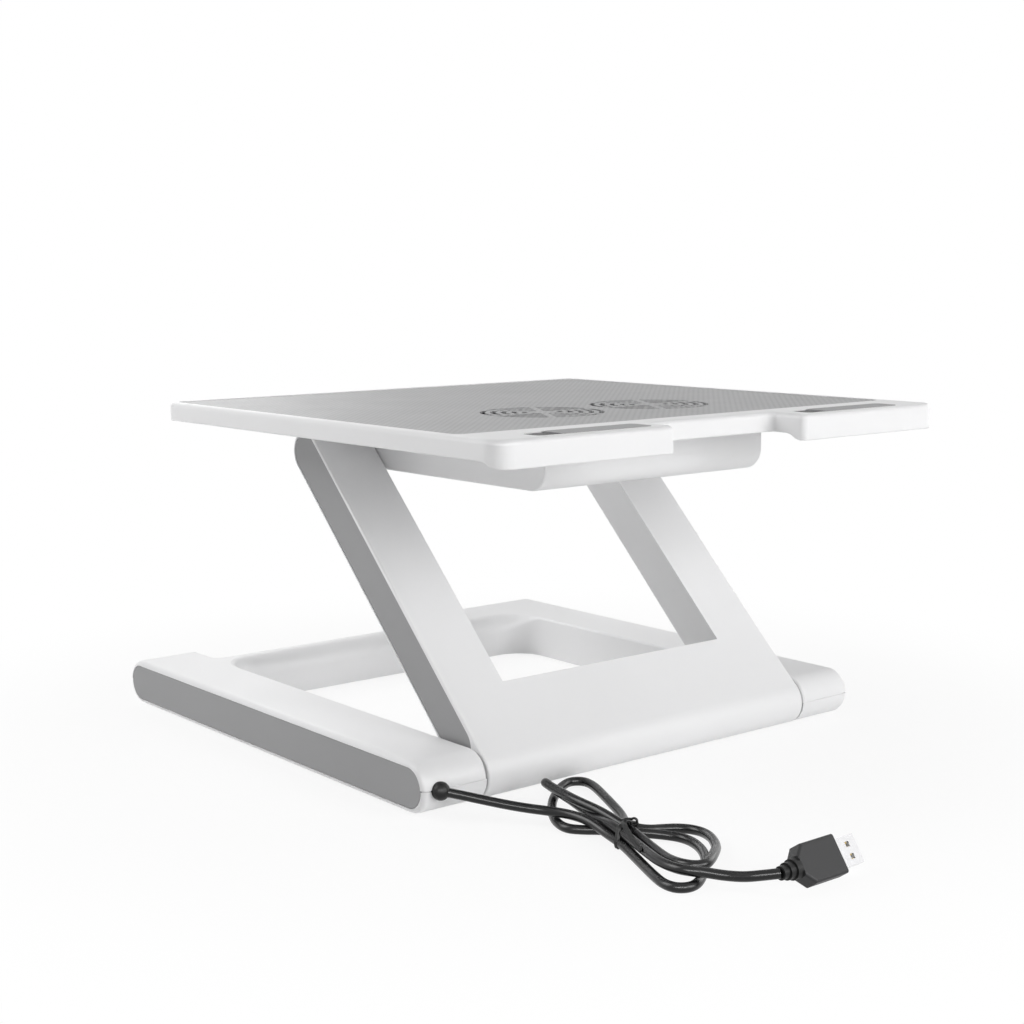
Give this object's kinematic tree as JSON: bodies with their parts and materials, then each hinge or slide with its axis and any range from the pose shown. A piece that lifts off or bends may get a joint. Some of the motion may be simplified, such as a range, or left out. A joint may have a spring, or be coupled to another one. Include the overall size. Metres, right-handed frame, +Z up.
{
  "type": "folding projector stand",
  "caption": "Folding Z-shaped desk stand: a flat base frame, a leaning two-arm lift frame and a level vented platform that holds a projector above the table",
  "frame": {"origin": "on the floor under the middle of the open stand, without its cord", "axes": "+Z up, +Y to the rear, +X to the right seen from the front"},
  "size_m": [0.28, 0.445, 0.1714],
  "materials": {
    "white_plastic": "moulded white ABS, satin",
    "grey_inlay": "satin grey inlay strip",
    "grey_panel": "satin grey perforated panel",
    "grip_rubber": "soft grey grip strip",
    "foot_rubber": "grey rubber foot",
    "hinge_steel": "turned steel pin",
    "fan_plastic": "black fan plastic",
    "cord_black": "black flexible jacket",
    "plug_metal": "plated steel shell",
    "plug_insert": "white contact carrier"
  },
  "bodies": {
    "base": {"base_upper_shell": "white_plastic", "base_lower_shell": "white_plastic", "rail_inlay_left": "grey_inlay", "rail_inlay_right": "grey_inlay", "foot_front_left": "foot_rubber", "foot_front_right": "foot_rubber", "foot_rear_left": "foot_rubber", "foot_rear_right": "foot_rubber", "base_hinge_pin_left": "hinge_steel", "base_hinge_pin_right": "hinge_steel", "cable_gland": "cord_black", "cord_lead": "cord_black", "cord_hank": "cord_black", "cord_tail": "cord_black", "cord_tie": "cord_black", "plug_relief": "cord_black", "plug_body": "cord_black", "plug_shell": "plug_metal", "plug_tongue": "plug_insert"},
    "lift": {"lift_frame": "white_plastic", "arm_inlay_left": "grey_inlay", "arm_inlay_right": "grey_inlay"},
    "platform": {"platform_tray": "white_plastic", "vent_panel": "grey_panel", "lip_pad_left": "grip_rubber", "lip_pad_right": "grip_rubber", "fan_housing": "white_plastic", "fan_guard_left": "white_plastic", "fan_guard_right": "white_plastic", "fan_rotor_left": "fan_plastic", "fan_rotor_right": "fan_plastic", "platform_hinge_pin_left": "hinge_steel", "platform_hinge_pin_right": "hinge_steel"}
  },
  "joints": [
    {"name": "lift_fold", "type": "hinge", "parent": "base", "child": "lift", "pos_m": [0, -0.10124, 0.013], "axis": [1, 0, 0], "range_deg": [-42.7, 15.3]},
    {"name": "platform_level", "type": "hinge", "parent": "lift", "child": "platform", "pos_m": [0, 0.03524, 0.14805], "axis": [1, 0, 0], "range_deg": [-15.3, 42.7]}
  ],
  "couplings": [
    {"joint": "platform_level", "follows": "lift_fold", "ratio": -1}
  ]
}
